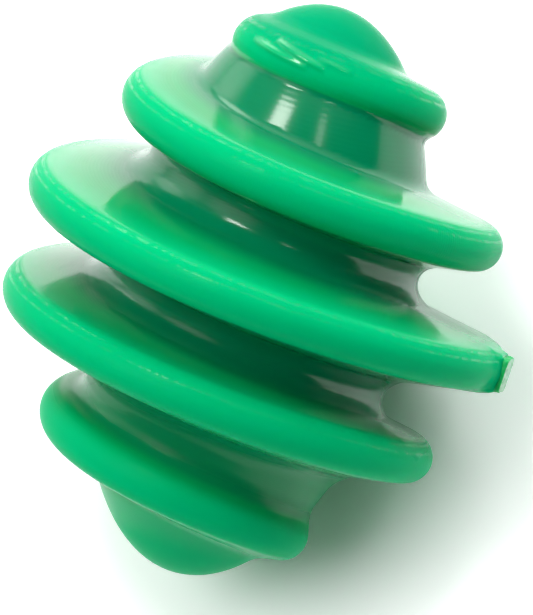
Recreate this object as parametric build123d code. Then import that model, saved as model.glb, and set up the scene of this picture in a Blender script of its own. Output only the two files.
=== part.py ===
from build123d import *
import os
from math import atan2, copysign, cos, degrees, hypot, radians, sin, sqrt

# A solid rubber chew toy: an egg-shaped core with one left-handed spiral flange wound round it.
# Every piece is modelled about the toy's own upright axis, and the whole is then laid down on two of its
# rims. Lengths are in millimetres, angles in degrees. Places along the spiral are in turns, counted from the
# toy's middle, where the flange is highest, and growing towards the lower end.

# Core
core_length = 90.0
core_diameter = 46.5

# Spiral flange: its section is a round rim on two tapered flanks that run into the core with a fillet
rim_diameter = 79.2
pitch = 16.9
rim_round = 3.6
flank_taper = 12.5

# Root fillet: full where the flange is highest and tight where it is low. It meets the core at the bite
# angle, so that it ends in an edge that is not feather thin
root_fillet = 3.2
end_fillet = 1.0
root_bite = 18.0
shortest_flank = 0.4

# Loft of the flange: how deep its sections reach into the core, how many make a turn, and the steps that seat
# a fillet on the core
section_depth = 1.5
sections_per_turn = 15
seating_steps = 15

# End coils: the flange grows lower and thicker, its pitch eases to nothing, and it then sinks into the core, the
# lower end sooner than the upper one
end_inset = 8.5
end_height = 2.0
end_round = 4.4
ease_turns = 0.3
fade_turns = 0.33
fade_sink = 1.5
upper_short_turns = 0.06
lower_short_turns = 0.3
height_power = 1.5

# Gate nub: the stub that the moulding gate leaves on the widest rim, cut off square
gate_angle = 7.0
gate_length = 5.4
gate_width = 5.0
gate_proud = 1.4
gate_corner = 0.8

# Rest: the rim that touches the floor, as an angle along the spiral, and the next turn's rim below it
contact_angle = 88.0

half_length = core_length / 2
core_round = core_diameter / 2
full_height = (rim_diameter - core_diameter) / 2
end_rise = half_length - end_inset
even_turns = end_rise / pitch - ease_turns / 2
end_turns = even_turns + ease_turns
first_turns = upper_short_turns - end_turns - fade_turns
last_turns = end_turns + fade_turns - lower_short_turns


def core_radius(rise):
    """Radius of the core at a height above its middle."""
    return core_round * sqrt(1 - (rise / half_length) ** 2)


def flange_rise(turns):
    """Height of the flange's middle plane: an even pitch that eases to level at both ends."""
    along = abs(turns)
    eased = min(max(along - even_turns, 0), ease_turns)
    rise = pitch * (min(along, even_turns) + eased - eased**2 / (2 * ease_turns))
    return copysign(rise, -turns)


def end_share(turns):
    """How far along the way from the toy's middle, at 0, to an end coil, at 1, the flange has changed."""
    return (abs(flange_rise(turns)) / end_rise) ** height_power


def flange_height(turns):
    """How far the rim stands out of the core. It falls towards the ends and then sinks into the core."""
    short_turns = lower_short_turns if turns > 0 else upper_short_turns
    faded = max(abs(turns) + short_turns - end_turns, 0) / fade_turns
    return full_height - (full_height - end_height) * end_share(turns) - (end_height + fade_sink) * faded**2


def section_round(turns):
    """Radius of the flange's round rim."""
    return rim_round + (end_round - rim_round) * end_share(turns) ** 2


def rim_radius(turns):
    return core_radius(flange_rise(turns)) + flange_height(turns)


def core_normal(point):
    """Unit normal of the core's outline at a point beside it, in the plane of the axis."""
    normal = Vector(point.X / core_round**2, point.Y / half_length**2)
    return normal.normalized()


def core_distance(point):
    """Distance of a point from the core's outline, close to it."""
    scaled = hypot(point.X / core_round, point.Y / half_length)
    slope = hypot(point.X / core_round**2, point.Y / half_length**2)
    return scaled * (scaled - 1) / slope


def fillet_radius(turns):
    """The root fillet, limited to what the groove between two turns has room for."""
    taper = radians(flank_taper)
    height = max(flange_height(turns), 0)
    wanted = end_fillet + (root_fillet - end_fillet) * (height / full_height) ** 2
    rounding = section_round(turns)
    root_half = (rounding + max(height - rounding, 0) * sin(taper)) / cos(taper)
    reach = cos(taper) / (1 + sin(taper))
    return min(wanted, max(pitch / 2 - root_half, shortest_flank) / reach)


def flank(side, rim_centre, rounding, fillet):
    """One side of a section, from the rim in: shoulder, flank foot, fillet middle and end, buried end."""
    taper = radians(flank_taper)
    out = Vector(sin(taper), side * cos(taper))
    inward = Vector(-cos(taper), side * sin(taper))
    shoulder = rim_centre + out * rounding
    target = fillet * cos(radians(root_bite))
    length = shortest_flank
    for _ in range(seating_steps):
        length += core_distance(shoulder + inward * length + out * fillet) - target
        length = max(length, shortest_flank)
    foot = shoulder + inward * length
    centre = foot + out * fillet
    down = core_normal(centre)
    middle = centre - (out + down).normalized() * fillet
    end = centre - down * fillet
    return shoulder, foot, middle, end, end - down * section_depth


def section(turns):
    """The flange's section in the half plane through the axis, turned to its place along the spiral."""
    rim = Vector(rim_radius(turns), flange_rise(turns))
    rounding = section_round(turns)
    rim_centre = rim - Vector(rounding, 0)
    fillet = fillet_radius(turns)
    top = flank(1, rim_centre, rounding, fillet)
    low = flank(-1, rim_centre, rounding, fillet)
    outline = [
        ThreePointArc(low[0], rim, top[0]),
        Line(top[0], top[1]),
        ThreePointArc(top[1], top[2], top[3]),
        Line(top[3], top[4]),
        Line(top[4], low[4]),
        Line(low[4], low[3]),
        ThreePointArc(low[3], low[2], low[1]),
        Line(low[1], low[0]),
    ]
    return Rot(0, 0, 360 * turns) * (Plane.XZ * make_face(outline))


def make_core():
    arc = EllipticalCenterArc((0, 0), core_round, half_length, start_angle=-90, arc_size=180)
    outline = make_face([arc, Line(arc @ 1, arc @ 0)])
    return revolve(Plane.XZ * outline, Axis.Z)


def make_turn(first, last, core):
    """One stretch of the flange, from its first to its last place along the spiral, trimmed by the core."""
    steps = round((last - first) * sections_per_turn)
    places = [first + (last - first) * step / steps for step in range(steps + 1)]
    return loft([section(turns) for turns in places]) - core


def make_gate_nub(turns):
    """A block with round corners that stands on the widest rim and follows it underneath."""
    place = gate_angle / 360
    rim = rim_radius(place)
    face = Plane.YZ * RectangleRounded(gate_width, gate_length, gate_corner)
    block = Pos(rim - rim_round, 0, flange_rise(place)) * extrude(face, rim_round + gate_proud)
    block = Rot(0, 0, gate_angle) * block
    for turn in turns:
        block = block - turn
    return max(block.solids(), key=lambda solid: solid.center().length)


def rest_turn():
    """The rotation that lays the toy down, with its axis in the XZ plane and its upper end towards +X."""
    upper = contact_angle / 360
    lower = upper + 1
    tilt = atan2(rim_radius(upper) - rim_radius(lower), flange_rise(upper) - flange_rise(lower))
    return Rot(0, 90 - degrees(tilt), 0) * Rot(0, 0, -contact_angle)


core = make_core()
turn_count = round(last_turns - first_turns)
turn_length = (last_turns - first_turns) / turn_count
ends = [first_turns + turn_length * count for count in range(turn_count + 1)]
turns = [make_turn(first, last, core) for first, last in zip(ends, ends[1:])]

pieces = {"core": core}
for count, turn in enumerate(turns, start=1):
    pieces[f"spiral_turn_{count}"] = turn
pieces["gate_nub"] = make_gate_nub(turns)

laid = {name: rest_turn() * piece for name, piece in pieces.items()}
box = laid["core"].bounding_box()
for piece in laid.values():
    box = box.add(piece.bounding_box())
to_floor = Pos(-box.center().X, -box.center().Y, -box.min.Z)

os.makedirs("parts", exist_ok=True)
for name, piece in laid.items():
    export_step(to_floor * piece, f"parts/{name}.step")
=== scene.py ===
from math import atan2, cos, pi, radians, sin

import bpy
import numpy as np
from mathutils import Matrix, Vector, noise


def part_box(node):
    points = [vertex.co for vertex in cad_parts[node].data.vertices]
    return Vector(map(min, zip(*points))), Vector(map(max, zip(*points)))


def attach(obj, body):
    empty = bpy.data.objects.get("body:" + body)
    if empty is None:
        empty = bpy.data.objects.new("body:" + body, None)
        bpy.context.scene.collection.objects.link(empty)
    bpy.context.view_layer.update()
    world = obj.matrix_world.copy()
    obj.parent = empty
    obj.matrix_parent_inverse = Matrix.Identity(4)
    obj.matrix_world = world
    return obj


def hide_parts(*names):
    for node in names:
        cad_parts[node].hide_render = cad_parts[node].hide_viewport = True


# A green rubber chew toy lying on a pale floor: one glossy moulding with a spiral flange wound round an
# egg-shaped core, and the stub of its moulding gate. Lengths are in metres and angles in degrees.

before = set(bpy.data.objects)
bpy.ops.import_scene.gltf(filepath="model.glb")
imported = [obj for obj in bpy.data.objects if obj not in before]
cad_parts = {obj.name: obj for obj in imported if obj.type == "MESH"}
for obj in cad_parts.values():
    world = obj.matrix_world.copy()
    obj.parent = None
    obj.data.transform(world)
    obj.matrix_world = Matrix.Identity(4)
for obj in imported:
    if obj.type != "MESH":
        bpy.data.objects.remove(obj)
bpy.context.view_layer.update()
full_turn = 360.0

# Core
core_length = 0.0900
core_diameter = 0.0465

# Spiral flange, with places along it in turns from the toy's middle, growing towards the lower end
rim_diameter = 0.0792
pitch = 0.0169
rim_round = 0.0036
flank_taper = 12.5
root_fillet = 0.0034
end_fillet = 0.0006
lower_neck_fillet = 0.0024
neck_turns = 1.25
neck_blend_turns = 0.1
neck_blend = 0.0012
groove_round = 0.0024

# End coils, where the flange grows lower and thicker, its pitch eases to nothing and it sinks into the core,
# the lower end sooner than the upper one
end_inset = 0.0085
end_height = 0.0020
end_round = 0.0044
ease_turns = 0.3
fade_turns = 0.33
fade_sink = 0.0015
upper_short_turns = 0.06
lower_short_turns = 0.3
height_power = 1.5

# Gate nub: the cut-off stub of the moulding gate on the widest rim
gate_angle = 7.0
gate_length = 0.0054
gate_width = 0.0047
gate_proud = 0.0009
gate_sink = 0.0017
gate_lean_share = 0.03
gate_land_drop = 0.0002
gate_land_reach = 3.0
gate_land_half = 0.0027
gate_land_blend = 0.0022
gate_ragged = 0.00016
gate_ragged_size = 0.0007

# Flow ridges: shallow folds in the top end coil, each from one place to another, as an angle and a rise
flow_ridges = [
    ((-121.0, 0.03834), (-80.0, 0.03690)),
    ((-105.0, 0.03942), (-70.0, 0.03738)),
    ((-78.0, 0.03889), (-55.0, 0.03805)),
]
flow_ridge_heights = [0.00036, 0.00042, 0.00020]
flow_ridge_upper = 0.0006
flow_ridge_lower = 0.0005
flow_zone_rise = 0.0380
flow_zone_reach = 0.0030
flow_zone_density = 2.0

# Rubber: its colour from the core to the rim, deeper towards the core as painted shade in the grooves, and
# the clouds of paler and deeper green in it
core_painted_shade_colour = (0.0, 0.21, 0.085, 1.0)
flank_painted_shade_colour = (0.0, 0.34, 0.10, 1.0)
rim_colour = (0.0, 0.44, 0.165, 1.0)
# The top dome's darker colour is painted shade against the light from above
crown_painted_shade_colour = (0.0, 0.32, 0.135, 1.0)
clouds_per_metre = 90.0
cloud_middle_share = 0.5
cloud_share = 0.14
# The end coils and the lower half take less of the painted groove shade, as painted light
coil_colour_share = 0.85
low_painted_light_share = 0.25

# Rubber: how it scatters light and how glossy it is. Blunt rims and domes are dull, but for worn streaks
# along the upper side of a rim, which break up into specks, and for the flow ridges
rubber_ior = 1.52
rubber_scatter_share = 0.4
rubber_scatter_depth = 0.003
scatter_shares = (0.1, 1.0, 0.4)
core_gloss_tint = (1.0, 1.0, 0.95, 1.0)
rim_gloss_tint = (0.9, 1.0, 0.9, 1.0)
core_roughness = 0.16
flank_roughness = 0.1
rim_roughness = 0.2
low_roughness = 0.15
cloud_roughness_share = 0.6
gloss_level = 0.43
low_gloss_loss = 0.23
dull_gloss_level = 0.012
streak_gloss_level = 0.25
streak_middle_share = 0.5
streak_gap_share = 0.28
specks_per_metre = 1100.0

# Rubber: marks left by the mould's cutter on the rims, in patches and mostly near the parting plane, steps
# beside them, turned marks elsewhere, and a fine grain
cutter_marks = 409
cutter_mark_depth = 0.000014
cutter_mark_wander = 6.0
wander_per_metre = 120.0
patches_per_metre = 55.0
patch_least_share = 0.15
parting_least_share = 0.2
turned_mark_gap = 0.00042
turned_mark_depth = 0.0000020
step_marks = 9.0
step_mark_depth = 0.000010
grain_size = 0.0004
grain_depth = 0.000010

# Rubber: where each change begins and ends, on the way from the core, at 0, to the rim, at 1
smooth_band_shares = (0.02, 0.2)
raised_band_shares = (0.05, 0.3)
inner_band_shares = (0.05, 0.5)
flange_band_shares = (0.15, 0.4)
blunt_band_shares = (0.3, 0.5)
outer_band_shares = (0.5, 0.95)
rim_band_shares = (0.65, 0.85)

# Rubber: where each change begins and ends across a rim, from its middle, at 0, to its upper side, at 1
streak_edge_shares = (0.36, 0.42)
blunt_side_shares = (0.82, 0.98)

# Rubber: where each change begins and ends by the height of a wave, a noise or a ridge
streak_band_shares = (0.2, 0.9)
speck_band_shares = (0.42, 0.62)
patch_band_shares = (0.42, 0.6)
parting_band_shares = (0.3, 0.75)
ridge_band_shares = (0.1, 0.5)

# Rubber: where each change begins and ends along the axis, from the toy's middle
low_band = (-0.026, -0.004)
end_band = (0.026, 0.034)
coil_band = (0.030, 0.036)
dome_band = (0.034, 0.041)
crown_band = (0.037, 0.041)

# Cut rubber of the gate nub: bright walls, and a pale cut face with pits, its paleness partly the torn
# rubber's own tone and partly a painted reflection of the white floor
cut_wall_colour = (0.0, 0.44, 0.11, 1.0)
cut_face_pale_reflection_colour = (0.46, 0.72, 0.55, 1.0)
cut_ior = 1.4
cut_scatter_share = 0.3
cut_scatter_depth = 0.002
cut_smooth_roughness = 0.42
cut_rough_roughness = 0.6
cut_rough_band_shares = (0.3, 0.7)
pit_band_shares = (0.3, 0.55)
pit_least_share = 0.35

# Noise: how many finer layers each kind has
fine_detail = 2.0
patch_detail = 3.0
pit_detail = 4.0

# Rest: the rim that touches the floor, as an angle along the spiral
contact_angle = 88.0

# Mesh of the moulding: meridians round the axis, rows along each of them
meridians = 300
rows = 330
outline_samples = 1300
solve_steps = 22
slope_step = 0.00005
least_slope = 1e-9

# Mesh of the gate nub: sides round it, rings up its wall and across its cut face and its foot, how square its
# outline is, how its wall flares towards the rim, and the seeds of its uneven surface
gate_sides = 72
gate_wall_rings = 16
gate_face_rings = 16
gate_foot_shares = (0.1, 0.5, 0.9)
gate_face_outer_share = 0.97
gate_face_inner_share = 0.04
gate_squareness = 5.0
gate_flare_share = 0.12
gate_flare_power = 3
gate_wall_seed = 5.0
gate_face_seed = 9.0

# Photograph: its size and focal length in pixels, where the toy's middle falls, the camera's place about the
# toy, and how far the camera sees
photo_width = 533
photo_height = 615
photo_focal = 12000.0
photo_middle = (256.8, 290.3)
photo_pixels_per_metre = 6611.0
photo_elevation = 9.28
photo_lean = 16.61
photo_spiral_angle = -18.0
camera_far = 20.0

# Light: a dim sky with soft glows, each given by its aim, the cosine at its edge and its level at its middle,
# and more of them that only gloss shows, then a pale floor and two soft lamps. Aims are along the
# photograph's right, up and back directions
sky_level = 0.015
sky_gloss_share = 0.2
sky_glows = [
    {"aim": (-0.58, 0.20, 0.79), "edge": 0.88, "level": 4.0},
    {"aim": (-0.05, 0.88, 0.46), "edge": 0.75, "level": 1.2},
    {"aim": (-0.50, 0.80, -0.22), "edge": 0.5, "level": 0.7},
    {"aim": (0.45, 0.79, 0.38), "edge": 0.8, "level": 2.1},
    {"aim": (-0.92, 0.20, 0.33), "edge": 0.75, "level": 0.8},
    {"aim": (0.36, 0.93, -0.07), "edge": 0.8, "level": 1.6},
    {"aim": (-0.45, -0.77, 0.45), "edge": 0.7, "level": 0.12},
]
gloss_glows = [
    {"aim": (-0.92, 0.38, 0.05), "edge": 0.88, "level": 1.4},
    {"aim": (-0.66, 0.73, -0.15), "edge": 0.92, "level": 2.2},
    {"aim": (-0.05, 1.00, 0.05), "edge": 0.88, "level": 0.6},
    {"aim": (-0.25, 0.96, -0.08), "edge": 0.95, "level": 5.0},
]
floor_colour = (0.9, 0.9, 0.9, 1.0)
floor_gloss_colour = (1.1, 1.1, 1.1, 1.0)
floor_seen_colour = (1.3, 1.3, 1.3, 1.0)
floor_roughness = 0.9
floor_half = 4.0
sky_colour = (1.0, 1.0, 1.0, 1.0)
softboxes = [
    {
        "name": "front_softbox",
        "aim": (-0.24, 0.57, 0.79),
        "distance": 1.0,
        "width": 0.24,
        "height": 0.28,
        "power": 3.6,
    },
    {
        "name": "side_softbox",
        "aim": (0.36, 0.38, 0.85),
        "distance": 1.2,
        "width": 0.12,
        "height": 0.3,
        "power": 0.5,
    },
]

# Sockets of a mix node for colours: its share, its two colours and its result
mix_inputs = (0, 6, 7)
mix_output = 2

half_length = core_length / 2
core_round = core_diameter / 2
full_height = (rim_diameter - core_diameter) / 2
end_rise = half_length - end_inset
even_turns = end_rise / pitch - ease_turns / 2
end_turns = even_turns + ease_turns


def core_radius(rise):
    return core_round * np.sqrt(np.maximum(1 - (rise / half_length) ** 2, 0))


def flange_rise(turns):
    """Height of the flange's middle plane: an even pitch that eases to level at both ends."""
    along = np.abs(turns)
    eased = np.clip(along - even_turns, 0, ease_turns)
    rise = pitch * (np.minimum(along, even_turns) + eased - eased**2 / (2 * ease_turns))
    return -np.sign(turns) * rise


def end_share(turns):
    """How far along the way from the toy's middle, at 0, to an end coil, at 1, the flange has changed."""
    return (np.abs(flange_rise(turns)) / end_rise) ** height_power


def flange_height(turns):
    """How far the rim stands out of the core. It falls towards the ends and then sinks into the core."""
    short_turns = np.where(turns > 0, lower_short_turns, upper_short_turns)
    faded = np.maximum(np.abs(turns) + short_turns - end_turns, 0) / fade_turns
    return full_height - (full_height - end_height) * end_share(turns) - (end_height + fade_sink) * faded**2


def section_round(turns):
    return rim_round + (end_round - rim_round) * end_share(turns) ** 2


def rim_radius(turns):
    return core_radius(flange_rise(turns)) + flange_height(turns)


def core_distance(radius, rise):
    scaled = np.hypot(radius / core_round, rise / half_length)
    slope = np.hypot(radius / core_round**2, rise / half_length**2)
    return scaled * (scaled - 1) / np.maximum(slope, least_slope)


def pass_distance(radius, rise, turns):
    """Distance from one pass of the flange: a wedge of tapered flanks with a round rim."""
    taper = radians(flank_taper)
    rounding = section_round(turns)
    inward = rim_radius(turns) - rounding - radius
    aside = np.abs(rise - flange_rise(turns))
    before_rim = inward * cos(taper) + aside * sin(taper) < 0
    flank = aside * cos(taper) - inward * sin(taper)
    return np.where(before_rim, np.hypot(inward, aside), flank) - rounding


def soft_least(first, second, blend):
    """The smaller of two distances, with a smooth change from one to the other."""
    near = np.maximum(blend - np.abs(first - second), 0) / blend
    return np.minimum(first, second) - near**2 * blend / 4


def smooth_step(value):
    held = np.clip(value, 0, 1)
    return held**2 * (3 - 2 * held)


def lower_neck(turns, rise):
    """Where the flange runs into the lower neck, at 1, and not into the domes or the upper neck, at 0."""
    last = smooth_step((turns - neck_turns) / neck_blend_turns + 1 / 2)
    outer = smooth_step((flange_rise(turns) - rise) / neck_blend + 1 / 2)
    return (1 - last * outer) * (rise < 0)


def toy_distance(radius, rise, turn):
    """Distance from the moulding in the half plane at a turn round the axis, with the root fillets."""
    nearest = np.round(-rise / pitch - turn)
    flange = pass_distance(radius, rise, turn + nearest)
    for beside in (-1, 1):
        flange = soft_least(flange, pass_distance(radius, rise, turn + nearest + beside), groove_round)
    core = core_distance(radius, rise)
    share = np.maximum(1 - np.abs(rise / end_rise) ** height_power, 0)
    wide = lower_neck(turn + nearest, rise)
    tight = end_fillet + (lower_neck_fillet - end_fillet) * wide
    fillet = tight + (root_fillet - tight) * share**2
    room = np.hypot(np.maximum(fillet - core, 0), np.maximum(fillet - flange, 0))
    return np.maximum(fillet, np.minimum(core, flange)) - room


def ridge_height(angle, rise):
    """How far the flow ridges lift the surface at an angle and a rise: steep below and gentle above."""
    height = np.zeros_like(angle)
    for (start, end), top in zip(flow_ridges, flow_ridge_heights):
        share = (angle - radians(start[0])) / radians(end[0] - start[0])
        across = rise - start[1] - (end[1] - start[1]) * share
        width = np.where(across > 0, flow_ridge_upper, flow_ridge_lower)
        height += top * np.exp(-((across / width) ** 2)) * np.sqrt(np.sin(pi * np.clip(share, 0, 1)))
    return height


def gate_land_distance(radius, rise, angle):
    """Distance from the blunt stretch of rim that carries the gate nub."""
    place = gate_angle / full_turn
    outward = radius - rim_radius(place) + gate_land_drop
    across = np.abs(rise - flange_rise(place)) - gate_land_half
    along = rim_radius(place) * (np.abs(angle - radians(gate_angle)) - radians(gate_land_reach))
    return np.maximum(np.maximum(outward, across), along)


def moulding_distance(radius, rise, turn):
    """Distance from the whole moulding, with its flow ridges and the land of its gate."""
    angle = 2 * pi * (turn - np.round(turn)) + np.zeros_like(radius)
    plain = toy_distance(radius - ridge_height(angle, rise), rise, turn)
    return soft_least(plain, gate_land_distance(radius, rise, angle), gate_land_blend)


def moulding_points():
    """The moulding's points in the toy's own axes, as meridians from pole to pole, and their normals."""
    turn = np.arange(meridians)[:, None] / meridians
    rise = half_length * np.sin(np.linspace(-pi / 2, pi / 2, outline_samples))[None, :]
    inside = np.zeros((meridians, outline_samples))
    outside = np.full_like(inside, rim_diameter)
    for _ in range(solve_steps):
        middle = (inside + outside) / 2
        solid = moulding_distance(middle, rise, turn) < 0
        inside = np.where(solid, middle, inside)
        outside = np.where(solid, outside, middle)
    radius = (inside + outside) / 2
    radius[:, [0, -1]] = 0
    zone = np.exp(-(((rise[0, 1:] - flow_zone_rise) / flow_zone_reach) ** 2))
    r = np.empty((meridians, rows))
    z = np.empty((meridians, rows))
    for m in range(meridians):
        step = np.hypot(np.diff(radius[m]), np.diff(rise[0]))
        along = np.concatenate([[0], np.cumsum(step * (1 + flow_zone_density * zone))])
        places = np.linspace(0, along[-1], rows)
        r[m] = np.interp(places, along, radius[m])
        z[m] = np.interp(places, along, rise[0])
    return turned_out(r, 0 * r, z, turn), turned_out(*moulding_slopes(r, z, turn), turn)


def turned_out(outward, onward, upward, turn):
    """Vectors given by their parts away from the axis, round it and along it, in the toy's own axes."""
    angle = 2 * pi * turn
    x = outward * np.cos(angle) - onward * np.sin(angle)
    y = outward * np.sin(angle) + onward * np.cos(angle)
    return np.stack([x, y, upward], axis=-1)


def moulding_slopes(radius, rise, turn):
    """The moulding's unit normals at its points, by their parts away from the axis, round it and along it."""
    far = np.maximum(radius, slope_step)
    round_step = slope_step / (2 * pi * far)
    ahead = moulding_distance(far, rise, turn + round_step) - moulding_distance(far, rise, turn - round_step)
    out = moulding_distance(far + slope_step, rise, turn) - moulding_distance(far - slope_step, rise, turn)
    up = moulding_distance(far, rise + slope_step, turn) - moulding_distance(far, rise - slope_step, turn)
    length = np.sqrt(ahead**2 + out**2 + up**2)
    return out / length, ahead / length, up / length


def flange_shares(points):
    """Each point's place on its flange: from the core, at 0, out to the rim, at 1, and from its lower side,
    at -1, to its upper side, at 1."""
    radius = np.hypot(points[..., 0], points[..., 1])
    rise = points[..., 2]
    turn = np.arctan2(points[..., 1], points[..., 0]) / (2 * pi)
    turns = turn + np.round(-rise / pitch - turn)
    height = np.maximum(flange_height(turns), end_height)
    out = np.clip((radius - core_radius(rise)) / height, 0, 1)
    side = np.clip((rise - flange_rise(turns)) / section_round(turns), -1, 1)
    return out, side


def ridge_shares(points):
    """How far each point stands up on a flow ridge, from 0 beside it to 1 on the highest."""
    angle = np.arctan2(points[..., 1], points[..., 0])
    return ridge_height(angle, points[..., 2]) / max(flow_ridge_heights)


def mesh_object(name, points, faces, materials):
    mesh = bpy.data.meshes.new(name)
    mesh.from_pydata([tuple(p) for p in points], [], faces)
    for material in materials:
        mesh.materials.append(material)
    mesh.polygons.foreach_set("use_smooth", [True] * len(mesh.polygons))
    mesh.update()
    made = bpy.data.objects.new(name, mesh)
    bpy.context.scene.collection.objects.link(made)
    return made


def add_attribute(made, name, values):
    made.data.attributes.new(name, "FLOAT", "POINT").data.foreach_set("value", values)


def lay_down():
    """The toy's own axes to the frame, about the core's middle: on two rims, its axis in the XZ plane."""
    upper = contact_angle / full_turn
    lower = upper + 1
    tilt = atan2(rim_radius(upper) - rim_radius(lower), flange_rise(upper) - flange_rise(lower))
    low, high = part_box("core")
    turned = Matrix.Rotation(pi / 2 - tilt, 4, "Y") @ Matrix.Rotation(-radians(contact_angle), 4, "Z")
    return Matrix.Translation((low + high) / 2) @ turned


def make_moulding(material):
    points, normals = [
        np.concatenate([grid[0, :1], grid[0, -1:], grid[:, 1:-1].reshape(-1, 3)])
        for grid in moulding_points()
    ]
    poles = [(0, 0, -1), (0, 0, 1)]
    normals[:len(poles)] = poles
    laid = np.array(lay_down())
    inner = rows - len(poles)

    def corner(meridian, row):
        return len(poles) + (meridian % meridians) * inner + row

    faces = []
    for m in range(meridians):
        faces.append((0, corner(m + 1, 0), corner(m, 0)))
        faces.append((1, corner(m, inner - 1), corner(m + 1, inner - 1)))
        for r in range(inner - 1):
            faces.append((corner(m, r), corner(m + 1, r), corner(m + 1, r + 1), corner(m, r + 1)))
    made = mesh_object("moulding", points @ laid[:3, :3].T + laid[:3, 3], faces, [material])
    made.data.normals_split_custom_set_from_vertices(normals @ laid[:3, :3].T)
    for name, shares in zip(("rim_share", "side_share"), flange_shares(points)):
        add_attribute(made, name, shares)
    add_attribute(made, "ridge_share", ridge_shares(points))
    return made


def gate_outline(size):
    """The nub's rounded outline at a share of its full size, across and along the toy's axis."""
    angles = np.arange(gate_sides) * 2 * pi / gate_sides

    def rounded(wave):
        return np.sign(wave) * np.abs(wave) ** (2 / gate_squareness)

    return size * gate_width / 2 * rounded(np.cos(angles)), size * gate_length / 2 * rounded(np.sin(angles))


def ragged(place, seed):
    return gate_ragged * noise.noise(Vector(place) / gate_ragged_size + Vector((seed, 0, 0)))


def make_gate_nub(material):
    """A stub with uneven walls that rises out of the rim and ends in a leaning, ragged cut face."""
    foot = [(share, -gate_sink, 0.0) for share in gate_foot_shares]
    wall = []
    for share in np.linspace(0, 1, gate_wall_rings):
        flare = gate_flare_share * (1 - share) ** gate_flare_power
        wall.append((1 + flare, -gate_sink + (gate_sink + gate_proud) * share, 0.0))
    face_shares = np.linspace(gate_face_outer_share, gate_face_inner_share, gate_face_rings)
    face = [(share, gate_proud, 1.0) for share in face_shares]
    rings = foot + wall + face
    points, cut = [], []
    for size, out, share in rings:
        for across, along in zip(*gate_outline(size)):
            swell = 1 + ragged((across, along, out), gate_wall_seed) / (gate_width / 2)
            lift = out + gate_lean_share * along * max(out, 0) / gate_proud
            lift += share * ragged((across, along, 0.0), gate_face_seed)
            points.append((lift, across * swell, along * swell))
            cut.append(share)
    faces = [tuple(reversed(range(gate_sides)))]
    for ring in range(len(rings) - 1):
        for side in range(gate_sides):
            beside = (side + 1) % gate_sides
            low, high = ring * gate_sides, (ring + 1) * gate_sides
            faces.append((low + side, low + beside, high + beside, high + side))
    faces.append(tuple(range((len(rings) - 1) * gate_sides, len(rings) * gate_sides)))
    turns = gate_angle / full_turn
    seat = Matrix.Rotation(radians(gate_angle), 4, "Z")
    seat = seat @ Matrix.Translation((rim_radius(turns), 0, flange_rise(turns)))
    laid = np.array(lay_down() @ seat)
    made = mesh_object("gate_stub", np.array(points) @ laid[:3, :3].T + laid[:3, 3], faces, [material])
    add_attribute(made, "cut_share", np.array(cut))
    return made


class Shading:
    """A node tree. Each call adds one node or a few, sets or links their inputs and gives back the output."""

    def __init__(self, tree):
        self.tree = tree

    def feed(self, socket, value):
        if isinstance(value, bpy.types.NodeSocket):
            self.tree.links.new(value, socket)
        else:
            socket.default_value = value

    def node(self, kind, output, settings=None, **inputs):
        made = self.tree.nodes.new(kind)
        for name, value in (settings or {}).items():
            setattr(made, name, value)
        for name, value in inputs.items():
            self.feed(made.inputs[name.replace("_", " ")], value)
        return made.outputs[output]

    def in_order(self, kind, operation, values):
        """A node whose inputs take the values in their order."""
        made = self.tree.nodes.new(kind)
        made.operation = operation
        for socket, value in zip(made.inputs, values):
            self.feed(socket, value)
        return made.outputs["Value"]

    def math(self, operation, *values):
        return self.in_order("ShaderNodeMath", operation, values)

    def dot(self, *vectors):
        return self.in_order("ShaderNodeVectorMath", "DOT_PRODUCT", vectors)

    def total(self, first, *others):
        for other in others:
            first = self.math("ADD", first, other)
        return first

    def product(self, first, *others):
        for other in others:
            first = self.math("MULTIPLY", first, other)
        return first

    def remainder(self, share):
        """What a share leaves of the whole."""
        return self.math("SUBTRACT", 1.0, share)

    def ramp(self, value, band, out_low=0.0, out_high=1.0):
        """A smooth step from one value to another, over a band."""
        settings = {"interpolation_type": "SMOOTHSTEP"}
        ends = {"From_Min": band[0], "From_Max": band[1], "To_Min": out_low, "To_Max": out_high}
        return self.node("ShaderNodeMapRange", "Result", settings, Value=value, **ends)

    def fall(self, value, band):
        return self.ramp(value, band, 1.0, 0.0)

    def noise(self, place, scale, detail):
        return self.node("ShaderNodeTexNoise", "Fac", Vector=place, Scale=scale, Detail=detail)

    def attribute(self, name):
        return self.node("ShaderNodeAttribute", "Fac", {"attribute_name": name})

    def bump(self, height):
        return self.node("ShaderNodeBump", "Normal", Strength=1.0, Distance=1.0, Height=height)

    def mix(self, share, first, second):
        made = self.tree.nodes.new("ShaderNodeMix")
        made.data_type = "RGBA"
        for socket, value in zip(mix_inputs, (share, first, second)):
            self.feed(made.inputs[socket], value)
        return made.outputs[mix_output]

    def set(self, shader, **inputs):
        """Sets or links the inputs of the tree's shader."""
        for name, value in inputs.items():
            self.feed(self.tree.nodes[shader].inputs[name.replace("_", " ")], value)

    def toy_place(self):
        """The place in the toy's own axes, and its x, y and z."""
        laid = lay_down()
        settings = {"vector_type": "TEXTURE"}
        object_place = self.node("ShaderNodeTexCoord", "Object")
        turned = {"Location": laid.translation, "Rotation": laid.to_euler()}
        place = self.node("ShaderNodeMapping", "Vector", settings, Vector=object_place, **turned)
        split = self.tree.nodes.new("ShaderNodeSeparateXYZ")
        self.feed(split.inputs["Vector"], place)
        return place, split.outputs["X"], split.outputs["Y"], split.outputs["Z"]


def new_material(name, fill):
    """A material whose nodes a function adds."""
    material = bpy.data.materials.new(name)
    material.use_nodes = True
    made = Shading(material.node_tree)
    made.set("Principled BSDF", **fill(made))
    return material


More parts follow.
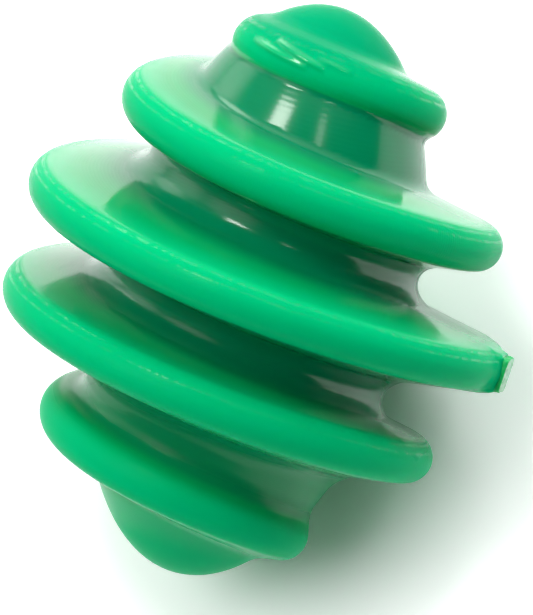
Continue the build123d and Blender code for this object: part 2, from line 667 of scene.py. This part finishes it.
class RubberZones:
    """Where on the toy the rubber changes, as shares that the nodes of its material work out."""

    def __init__(self, made):
        self.place, self.x, self.y, self.z = made.toy_place()
        self.rim_share = made.attribute("rim_share")
        self.side_share = made.attribute("side_share")
        self.flange = made.ramp(self.rim_share, flange_band_shares)
        self.rim = made.ramp(self.rim_share, rim_band_shares)
        rise = made.math("ABSOLUTE", self.z)
        self.dome = made.ramp(rise, dome_band)
        self.between_ends = made.fall(rise, end_band)
        # The top dome, darkened as painted shade
        self.crown = made.ramp(self.z, crown_band)
        self.low = made.fall(self.z, low_band)
        clouds = made.noise(self.place, clouds_per_metre, fine_detail)
        self.clouds = made.product(made.math("SUBTRACT", clouds, cloud_middle_share), cloud_share)
        # The end coils, where the painted groove shade is mostly left off
        raised = made.math("MAXIMUM", made.ramp(self.rim_share, raised_band_shares), self.dome)
        lower_half = made.math("LESS_THAN", self.z, 0.0)
        coil = made.ramp(rise, coil_band, 0.0, coil_colour_share)
        self.coil = made.product(coil, made.math("MAXIMUM", raised, lower_half))


def rubber_colour_with_painted_shade(made, zones):
    """Deeper green towards the core as painted shade in the grooves, brighter towards the rims and on the end
    coils, with less painted shade in the lower half and a darker top dome as painted shade.
    """
    out = made.total(made.math("MAXIMUM", zones.rim_share, zones.coil), zones.clouds)
    out = made.math("MAXIMUM", out, made.product(zones.low, low_painted_light_share))
    inner = made.mix(made.ramp(out, inner_band_shares), core_painted_shade_colour, flank_painted_shade_colour)
    colour = made.mix(made.ramp(out, outer_band_shares), inner, rim_colour)
    return made.mix(zones.crown, colour, crown_painted_shade_colour)


def rubber_relief(made, zones):
    """Height of the cutter's marks and steps on the flange, the turned marks elsewhere and the grain."""
    angle = made.math("ARCTAN2", zones.y, zones.x)
    wander = made.product(made.noise(zones.place, wander_per_metre, fine_detail), cutter_mark_wander)
    cutter = made.math("SINE", made.total(made.product(angle, float(cutter_marks)), wander))
    aside = made.math("ABSOLUTE", made.math("SINE", made.math("SUBTRACT", angle, radians(gate_angle))))
    parting = made.ramp(aside, parting_band_shares, 1.0, parting_least_share)
    patches = made.noise(zones.place, patches_per_metre, patch_detail)
    patches = made.ramp(patches, patch_band_shares, patch_least_share)
    steps = made.math("SINE", made.product(zones.side_share, step_marks))
    radius = made.math("SQRT", made.total(made.product(zones.x, zones.x), made.product(zones.y, zones.y)))
    turned = made.math("SINE", made.product(made.total(zones.z, radius), 2 * pi / turned_mark_gap))
    grain = made.noise(zones.place, 1 / grain_size, fine_detail)
    return made.total(
        made.product(cutter, parting, patches, zones.rim, cutter_mark_depth),
        made.product(steps, patches, zones.flange, step_mark_depth),
        made.product(turned, made.remainder(zones.rim), turned_mark_depth),
        made.product(grain, made.math("MAXIMUM", zones.rim, zones.dome), grain_depth),
    )


def rubber_roughness(made, zones):
    return made.total(
        made.ramp(zones.rim_share, smooth_band_shares, core_roughness, flank_roughness),
        made.product(zones.rim, zones.between_ends, rim_roughness - flank_roughness),
        made.product(zones.low, low_roughness),
        made.product(zones.clouds, cloud_roughness_share),
    )


def rubber_gloss(made, zones):
    """Level of the gloss: high on flanks and necks, low on blunt rims and domes but for marks."""
    sides = made.math("ABSOLUTE", zones.side_share)
    blunt = made.product(made.ramp(zones.rim_share, blunt_band_shares), made.fall(sides, blunt_side_shares))
    beside_ridges = made.fall(made.attribute("ridge_share"), ridge_band_shares)
    dull = made.product(made.math("MAXIMUM", blunt, zones.dome), beside_ridges)
    level = made.math("SUBTRACT", gloss_level, made.product(zones.low, low_gloss_loss))
    across = made.math("SUBTRACT", zones.side_share, streak_middle_share)
    wave = made.math("COSINE", made.product(across, 2 * pi / streak_gap_share))
    specks = made.ramp(made.noise(zones.place, specks_per_metre, fine_detail), speck_band_shares)
    upper_side = made.ramp(zones.side_share, streak_edge_shares)
    streaks = made.product(made.ramp(wave, streak_band_shares), upper_side, made.remainder(zones.low), specks)
    dull_level = made.total(dull_gloss_level, made.product(streaks, streak_gloss_level))
    return made.ramp(dull, (0.0, 1.0), level, dull_level)


def green_rubber(made):
    """Glossy green rubber: deeper towards the core as painted shade in the grooves, with the marks of its
    mould.
    """
    zones = RubberZones(made)
    tinted = made.math("MAXIMUM", zones.flange, zones.dome)
    return {
        "Base_Color": rubber_colour_with_painted_shade(made, zones),
        "Normal": made.bump(rubber_relief(made, zones)),
        "Roughness": rubber_roughness(made, zones),
        "IOR": rubber_ior,
        "Specular_Tint": made.mix(tinted, core_gloss_tint, rim_gloss_tint),
        "Specular_IOR_Level": rubber_gloss(made, zones),
        "Subsurface_Weight": rubber_scatter_share,
        "Subsurface_Radius": scatter_shares,
        "Subsurface_Scale": rubber_scatter_depth,
    }


def cut_rubber(made):
    """Torn rubber: bright green walls, and a pale cut face with pits, partly its own paler tone and partly a
    painted reflection of the white floor.
    """
    place = made.toy_place()[0]
    pits = made.noise(place, 1 / gate_ragged_size, pit_detail)
    pale = made.product(made.attribute("cut_share"), made.ramp(pits, pit_band_shares, pit_least_share))
    return {
        "Base_Color": made.mix(pale, cut_wall_colour, cut_face_pale_reflection_colour),
        "Normal": made.bump(made.product(pits, gate_ragged)),
        "Roughness": made.ramp(pits, cut_rough_band_shares, cut_smooth_roughness, cut_rough_roughness),
        "IOR": cut_ior,
        "Subsurface_Weight": cut_scatter_share,
        "Subsurface_Radius": scatter_shares,
        "Subsurface_Scale": cut_scatter_depth,
    }


def pale_floor(made):
    """A pale floor that the camera and glossy surfaces see as white paper. It keeps the toy's shadow."""
    rays = made.tree.nodes.new("ShaderNodeLightPath").outputs
    colour = made.mix(rays["Is Glossy Ray"], floor_colour, floor_gloss_colour)
    return {
        "Base_Color": made.mix(rays["Is Camera Ray"], colour, floor_seen_colour),
        "Roughness": floor_roughness,
        "Specular_IOR_Level": 0.0,
    }


def make_floor():
    half = floor_half
    corners = [(-half, -half, 0), (half, -half, 0), (half, half, 0), (-half, half, 0)]
    return mesh_object("floor", corners, [(0, 1, 2, 3)], [new_material("pale_floor", pale_floor)])


def photo_axes():
    """The photograph's right, up and back directions, in the frame."""
    lean, rise, spin = radians(photo_lean), radians(photo_elevation), radians(-photo_spiral_angle)
    right = Vector((cos(lean), sin(lean) * sin(rise), sin(lean) * cos(rise)))
    up = Vector((-sin(lean), cos(lean) * sin(rise), cos(lean) * cos(rise)))
    turned = lay_down().to_3x3() @ Matrix.Rotation(spin, 3, "Z")
    right, up = turned @ right, turned @ up
    return right, up, right.cross(up)


def make_camera():
    right, up, back = photo_axes()
    shift_right = (photo_width / 2 - photo_middle[0]) / photo_pixels_per_metre
    shift_down = (photo_height / 2 - photo_middle[1]) / photo_pixels_per_metre
    target = lay_down().translation + right * shift_right - up * shift_down
    data = bpy.data.cameras.new("camera")
    data.lens = photo_focal / photo_height * data.sensor_width
    data.clip_end = camera_far
    camera = bpy.data.objects.new("camera", data)
    turned = Matrix((right, up, back)).transposed().to_4x4()
    place = target + back * (photo_focal / photo_pixels_per_metre)
    camera.matrix_world = Matrix.Translation(place) @ turned
    bpy.context.scene.collection.objects.link(camera)
    bpy.context.scene.camera = camera


def photo_direction(aim):
    """A direction given along the photograph's right, up and back directions."""
    right, up, back = photo_axes()
    return (right * aim[0] + up * aim[1] + back * aim[2]).normalized()


def make_softbox(name, aim, distance, width, height, power):
    """A soft lamp whose height runs along the toy's axis."""
    direction = photo_direction(aim)
    axis = lay_down().to_3x3() @ Vector((0, 0, 1))
    tall = (axis - direction * axis.dot(direction)).normalized()
    data = bpy.data.lights.new(name, "AREA")
    data.shape = "RECTANGLE"
    data.size = width
    data.size_y = height
    data.energy = power
    lamp = bpy.data.objects.new(name, data)
    turned = Matrix((tall.cross(direction), tall, direction)).transposed().to_4x4()
    lamp.matrix_world = Matrix.Translation(lay_down().translation + direction * distance) @ turned
    bpy.context.scene.collection.objects.link(lamp)


def glow_strength(made, glows, base):
    """The strength of a sky of soft glows over an even level."""
    place = made.node("ShaderNodeTexCoord", "Generated")
    strength = base
    for glow in glows:
        toward = made.dot(place, photo_direction(glow["aim"]))
        strength = made.total(strength, made.ramp(toward, (glow["edge"], 1.0), 0.0, glow["level"]))
    return strength


def make_world():
    """A dim plain sky with soft glows, and a pale band low on the left that only gloss shows."""
    world = bpy.data.worlds.new("studio")
    bpy.context.scene.world = world
    world.use_nodes = True
    made = Shading(world.node_tree)
    plain = glow_strength(made, sky_glows, sky_level)
    gloss = made.total(made.product(plain, sky_gloss_share), glow_strength(made, gloss_glows, 0.0))
    glossy_ray = made.node("ShaderNodeLightPath", "Is Glossy Ray")
    made.set("Background", Color=sky_colour, Strength=made.ramp(glossy_ray, (0.0, 1.0), plain, gloss))


bpy.context.scene.view_settings.view_transform = "Standard"

moulding = make_moulding(new_material("green_rubber", green_rubber))
turn_nodes = [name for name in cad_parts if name.startswith("spiral_turn_")]
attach(moulding, "root")
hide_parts("core", *turn_nodes)

gate_stub = make_gate_nub(new_material("cut_rubber", cut_rubber))
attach(gate_stub, "root")
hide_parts("gate_nub")

make_floor()
make_camera()
make_world()
for softbox in softboxes:
    make_softbox(**softbox)
